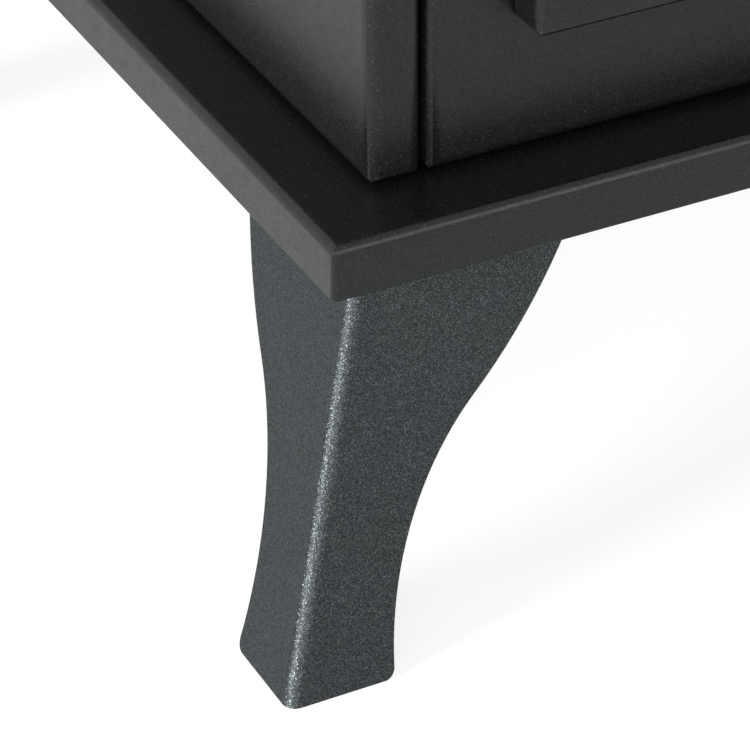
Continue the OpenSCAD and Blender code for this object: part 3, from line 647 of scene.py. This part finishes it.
def clear_glass():
    material, shade, shader = new_material("Clear glass")
    matte = group_node(
        shade,
        bpy.data.node_groups["Cloudy matte"],
        Dark=(0.93, 0.96, 0.955, 1),
        Light=(0.96, 0.975, 0.97, 1),
        Size=6 * MM,
        Roughness=0.02,
        Roughness_Change=0.015,
    )
    shader["IOR"].default_value = 1.5
    shader["Transmission Weight"].default_value = 1.0
    shade.feed(shader["Base Color"], matte["Colour"])
    shade.feed(shader["Roughness"], matte["Roughness"])
    return material


# Pieces


def faint_creases(shape):
    """Long edges where two faces are almost level, such as beside a fold"""
    return [
        edge for edge in shape.edges
        if len(edge.link_faces) == 2
        and edge.calc_face_angle() < FAINT_ANGLE
        and edge.calc_length() > LONG_EDGE
    ]


def merged_shape(node):
    """A CAD node's mesh to edit, with merged points and joined level faces"""
    shape = bmesh.new()
    shape.from_mesh(NODES[node].data)
    bmesh.ops.remove_doubles(shape, verts=shape.verts, dist=MERGE_DISTANCE)
    bmesh.ops.dissolve_limit(
        shape, angle_limit=LEVEL_ANGLE, verts=shape.verts, edges=shape.edges
    )
    return shape


def piece_from(shape, node, ending, material):
    """The piece that stands in for a CAD node, made from an edited mesh"""
    mesh = NODES[node].data.copy()
    shape.to_mesh(mesh)
    shape.free()
    piece = bpy.data.objects.new(node + ending, mesh)
    bpy.context.scene.collection.objects.link(piece)
    mesh.materials.clear()
    mesh.materials.append(material)
    mesh.shade_smooth()
    mesh.set_sharp_from_angle(angle=CRISP_ANGLE)
    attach(piece, BODY_OF[node])
    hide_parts(node)
    return piece


def coated(node, material, radius):
    """A folded sheet whose cut edges are rounded by its coat"""
    shape = merged_shape(node)
    bmesh.ops.dissolve_edges(shape, edges=faint_creases(shape), use_verts=False)
    piece = piece_from(shape, node, "_coated", material)
    round_edges = piece.modifiers.new("Coated edges", "BEVEL")
    round_edges.width = radius
    round_edges.segments = COAT_STEPS
    round_edges.limit_method = "ANGLE"
    round_edges.angle_limit = COAT_ANGLE
    round_edges.use_clamp_overlap = False
    round_edges.harden_normals = True
    even = piece.modifiers.new("Even faces", "WEIGHTED_NORMAL")
    even.mode = "FACE_AREA"
    even.weight = 100
    even.keep_sharp = True


def screw_heads(shape):
    """The flat tops of screw heads: faces wider than a shank whose edges all stand out"""
    return [
        face for face in shape.faces
        if face.calc_area() > HEAD_AREA and all(edge.is_convex for edge in face.edges)
    ]


def dome_head(shape, head):
    """Rounds the rim of a flat screw head in steps along a quarter of an ellipse"""
    middle = head.calc_center_bounds()
    radius = max((vert.co - middle).length for vert in head.verts)
    run = DOME_RUN * radius
    rise = DOME_RISE * radius
    bmesh.ops.translate(shape, verts=head.verts, vec=-rise * head.normal)
    for step in range(DOME_STEPS):
        start = math.pi / 2 * step / DOME_STEPS
        end = math.pi / 2 * (step + 1) / DOME_STEPS
        bmesh.ops.inset_individual(
            shape,
            faces=[head],
            thickness=run * (math.cos(start) - math.cos(end)),
            depth=rise * (math.sin(end) - math.sin(start)),
            use_even_offset=True,
        )
    return radius


def sink_socket(shape, head, radius):
    """Sinks a hexagon socket in a screw head of the given radius"""
    rim = SOCKET_RIM * radius
    bmesh.ops.inset_individual(shape, faces=[head], thickness=rim, use_even_offset=True)
    middle = head.calc_center_bounds()
    first = head.verts[0].co - middle
    sixth = math.pi / 3
    flat = SOCKET_FLAT * radius
    for vert in head.verts:
        arm = vert.co - middle
        turn = first.angle(arm) % sixth - sixth / 2
        vert.co = middle + arm.normalized() * flat / math.cos(turn)
    depth = SOCKET_DEPTH * radius
    bmesh.ops.inset_individual(shape, faces=[head], thickness=0.0, depth=-depth)


def socket_screws(node, material):
    """Screws with domed heads and hexagon sockets"""
    shape = merged_shape(node)
    heads = screw_heads(shape)
    if not heads:
        raise RuntimeError("No screw heads found in " + node)
    for head in heads:
        radius = dome_head(shape, head)
        sink_socket(shape, head, radius)
    piece_from(shape, node, "_socketed", material)


def finish_nodes(nodes, material):
    """Gives CAD nodes a material"""
    for node in nodes:
        slots = NODES[node].data.materials
        slots.clear()
        slots.append(material)


class STOVE_OT_body(bpy.types.Operator):
    """Coats base tray, top plate and body panels"""

    bl_idname = "stove.finish_body"
    bl_label = "Body"

    def execute(self, context):
        coats = context.scene.stove_coats
        material = body_coat(coats)
        panels = ("side_panel_left", "side_panel_right", "front_panel", "back_panel")
        for node in ("base_tray", "top_plate") + panels:
            coated(node, material, coats.edge_radius)
        return {"FINISHED"}


class STOVE_OT_legs(bpy.types.Operator):
    """Coats the four bent legs"""

    bl_idname = "stove.finish_legs"
    bl_label = "Legs"

    def execute(self, context):
        coats = context.scene.stove_coats
        material = leg_coat(coats)
        for node in ("leg_front_left", "leg_front_right", "leg_rear_left", "leg_rear_right"):
            coated(node, material, coats.edge_radius)
        return {"FINISHED"}


class STOVE_OT_door(bpy.types.Operator):
    """Coats the door frame and the hinges"""

    bl_idname = "stove.finish_door"
    bl_label = "Door"

    def execute(self, context):
        coats = context.scene.stove_coats
        material = bpy.data.materials["Body coat"]
        coated("door_frame", material, coats.edge_radius)
        for end in ("upper", "lower"):
            coated("hinge_leaf_" + end, material, coats.edge_radius)
            coated("door_knuckle_" + end, material, coats.edge_radius)
        return {"FINISHED"}


class STOVE_OT_glass(bpy.types.Operator):
    """Finishes the glass, its seal and the magnet block"""

    bl_idname = "stove.finish_glass"
    bl_label = "Glass and seal"

    def execute(self, context):
        finish_nodes(["door_glass"], clear_glass())
        finish_nodes(["glass_seal"], seal_tape())
        finish_nodes(["magnet_catch"], magnet_housing())
        return {"FINISHED"}


class STOVE_OT_firebox(bpy.types.Operator):
    """Paints the firebox"""

    bl_idname = "stove.finish_firebox"
    bl_label = "Firebox"

    def execute(self, context):
        walls = ["firebox_liner_left", "firebox_liner_right", "firebox_back"]
        finish_nodes(["firebox_deck", "firebox_baffle"] + walls, heat_paint())
        return {"FINISHED"}


class STOVE_OT_burner(bpy.types.Operator):
    """Finishes burner, regulator and knob in stainless steel, and the fibre block"""

    bl_idname = "stove.finish_burner"
    bl_label = "Burner"

    def execute(self, context):
        steel = metal_material(
            "Brushed stainless", STAINLESS, LINES_ALONG_X, roughness=0.3, depth=0.0005 * MM
        )
        rails = ["slide_rail_left", "slide_rail_right"]
        finish_nodes(["burner_tank", "burner_cover", "burner_slide"] + rails, steel)
        turned = metal_material(
            "Turned stainless", STAINLESS, LINES_ALONG_Y, roughness=0.24, depth=0.0003 * MM
        )
        pins = ["hinge_pin_upper", "hinge_pin_lower"]
        finish_nodes(["door_knob", "strike_plate"] + pins, turned)
        finish_nodes(["burner_wool"], mineral_fibre())
        return {"FINISHED"}


class STOVE_OT_fasteners(bpy.types.Operator):
    """Finishes bolts, nuts, screws, spacers and glass strips in zinc"""

    bl_idname = "stove.finish_fasteners"
    bl_label = "Fasteners"

    def execute(self, context):
        zinc = bright_zinc()
        finish_nodes(
            [
                "leg_bolts", "leg_nuts", "body_bolts", "body_nuts", "top_nuts", "rear_spacers",
                "top_studs", "door_studs", "strip_nuts", "knob_nut",
                "glass_strip_top", "glass_strip_bottom", "glass_strip_left", "glass_strip_right",
            ],
            zinc,
        )
        for node in ("back_screws", "rear_screws", "hinge_screws", "catch_screws", "liner_screws"):
            socket_screws(node, zinc)
        return {"FINISHED"}


# Studio


def seen_rays(shade):
    """1 for rays of the camera, of reflections and through glass, 0 for rays of light"""
    rays = shade.add("ShaderNodeLightPath").outputs
    either = shade.math("MAXIMUM", rays["Is Camera Ray"], rays["Is Glossy Ray"])
    return shade.math("MAXIMUM", either, rays["Is Transmission Ray"])


def soft_lamp(name, place, aim, width, power):
    data = bpy.data.lights.new(name, "AREA")
    data.shape = "SQUARE"
    data.size = width
    data.energy = power
    lamp = bpy.data.objects.new(name, data)
    # The firebox is lit through the glass by the sky alone, which leaves no bright specks
    lamp.visible_transmission = False
    lamp.location = place
    lamp.rotation_euler = (Vector(aim) - Vector(place)).to_track_quat("-Z", "Y").to_euler()
    bpy.context.scene.collection.objects.link(lamp)
    return lamp


class STOVE_OT_studio(bpy.types.Operator):
    """Sets floor, light and camera"""

    bl_idname = "stove.set_studio"
    bl_label = "Studio"

    def execute(self, context):
        studio = context.scene.stove_studio
        self.make_floor(studio)
        self.make_world(context.scene, studio)
        aim = studio.lamp_aim
        soft_lamp("Key lamp", (-2.75, -0.45, 0.85), aim, width=0.7, power=120.0)
        soft_lamp("Left lamp", (-1.9, -2.2, 0.8), aim, width=1.6, power=50.0)
        soft_lamp("Front lamp", (1.0, -2.7, 1.2), aim, width=1.0, power=16.0)
        self.make_camera(context.scene, studio)
        context.scene.view_settings.view_transform = "Standard"
        return {"FINISHED"}

    def make_floor(self, studio):
        shape = bmesh.new()
        bmesh.ops.create_grid(shape, x_segments=1, y_segments=1, size=studio.floor_size / 2)
        mesh = bpy.data.meshes.new("studio_floor")
        shape.to_mesh(mesh)
        shape.free()
        floor = bpy.data.objects.new("studio_floor", mesh)
        bpy.context.scene.collection.objects.link(floor)
        material, shade, shader = new_material("Studio floor")
        shade.nodes.clear()
        lit = shade.add("ShaderNodeBsdfDiffuse")
        lit.inputs["Color"].default_value = LIT_FLOOR
        pale = shade.add("ShaderNodeBsdfDiffuse")
        pale.inputs["Color"].default_value = SEEN_FLOOR
        glow = shade.add("ShaderNodeEmission")
        glow.inputs["Strength"].default_value = studio.floor_glow
        shown = shade.add("ShaderNodeAddShader")
        shade.feed(shown.inputs[0], pale.outputs[0])
        shade.feed(shown.inputs[1], glow.outputs[0])
        either = shade.add("ShaderNodeMixShader")
        shade.feed(either.inputs[0], seen_rays(shade))
        shade.feed(either.inputs[1], lit.outputs[0])
        shade.feed(either.inputs[2], shown.outputs[0])
        end = shade.add("ShaderNodeOutputMaterial")
        shade.feed(end.inputs["Surface"], either.outputs[0])
        mesh.materials.append(material)

    def make_world(self, scene, studio):
        world = bpy.data.worlds.new("Studio sky")
        world.use_nodes = True
        scene.world = world
        shade = Shade(world.node_tree)
        shade.nodes.clear()
        sky = shade.add("ShaderNodeBackground")
        sky.inputs["Color"].default_value = (1, 1, 1, 1)
        shade.feed(sky.inputs["Strength"], shade.range(seen_rays(shade), 0.0, 1.0, studio.sky, 1.0))
        end = shade.add("ShaderNodeOutputWorld")
        shade.feed(end.inputs["Surface"], sky.outputs[0])

    def make_camera(self, scene, studio):
        target = Vector(BASE_LOW) + Vector(studio.target_offset)
        level = math.cos(studio.camera_elevation)
        away = Vector((
            -math.sin(studio.camera_azimuth) * level,
            -math.cos(studio.camera_azimuth) * level,
            math.sin(studio.camera_elevation),
        ))
        data = bpy.data.cameras.new("Camera")
        data.lens = studio.camera_lens
        data.sensor_width = 36.0
        camera = bpy.data.objects.new("Camera", data)
        look = (-away).to_track_quat("-Z", "Y").to_matrix().to_4x4()
        roll = Matrix.Rotation(studio.camera_roll, 4, "Z")
        camera.matrix_world = Matrix.Translation(target + away * studio.camera_distance) @ look @ roll
        scene.collection.objects.link(camera)
        scene.camera = camera


class STOVE_PT_panel(bpy.types.Panel):
    """Lists the stove's pieces and settings"""

    bl_label = "Stove"
    bl_idname = "STOVE_PT_panel"
    bl_space_type = "VIEW_3D"
    bl_region_type = "UI"
    bl_category = "Stove"

    def draw(self, context):
        for operator in OPERATORS:
            self.layout.operator(operator.bl_idname)
        for settings in (context.scene.stove_coats, context.scene.stove_studio):
            for name in type(settings).__annotations__:
                self.layout.prop(settings, name)


OPERATORS = (
    STOVE_OT_body,
    STOVE_OT_legs,
    STOVE_OT_door,
    STOVE_OT_glass,
    STOVE_OT_firebox,
    STOVE_OT_burner,
    STOVE_OT_fasteners,
    STOVE_OT_studio,
)
CLASSES = (CoatSettings, StudioSettings) + OPERATORS + (STOVE_PT_panel,)


def register():
    for cls in CLASSES:
        bpy.utils.register_class(cls)
    bpy.types.Scene.stove_coats = bpy.props.PointerProperty(type=CoatSettings)
    bpy.types.Scene.stove_studio = bpy.props.PointerProperty(type=StudioSettings)


def unregister():
    del bpy.types.Scene.stove_studio
    del bpy.types.Scene.stove_coats
    for cls in reversed(CLASSES):
        bpy.utils.unregister_class(cls)


def main():
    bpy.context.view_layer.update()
    register()
    flake_coat_group()
    brushed_lines_group()
    cloudy_matte_group()
    bpy.ops.stove.finish_body()
    bpy.ops.stove.finish_legs()
    bpy.ops.stove.finish_door()
    bpy.ops.stove.finish_glass()
    bpy.ops.stove.finish_firebox()
    bpy.ops.stove.finish_burner()
    bpy.ops.stove.finish_fasteners()
    bpy.ops.stove.set_studio()


if __name__ == "__main__":
    main()
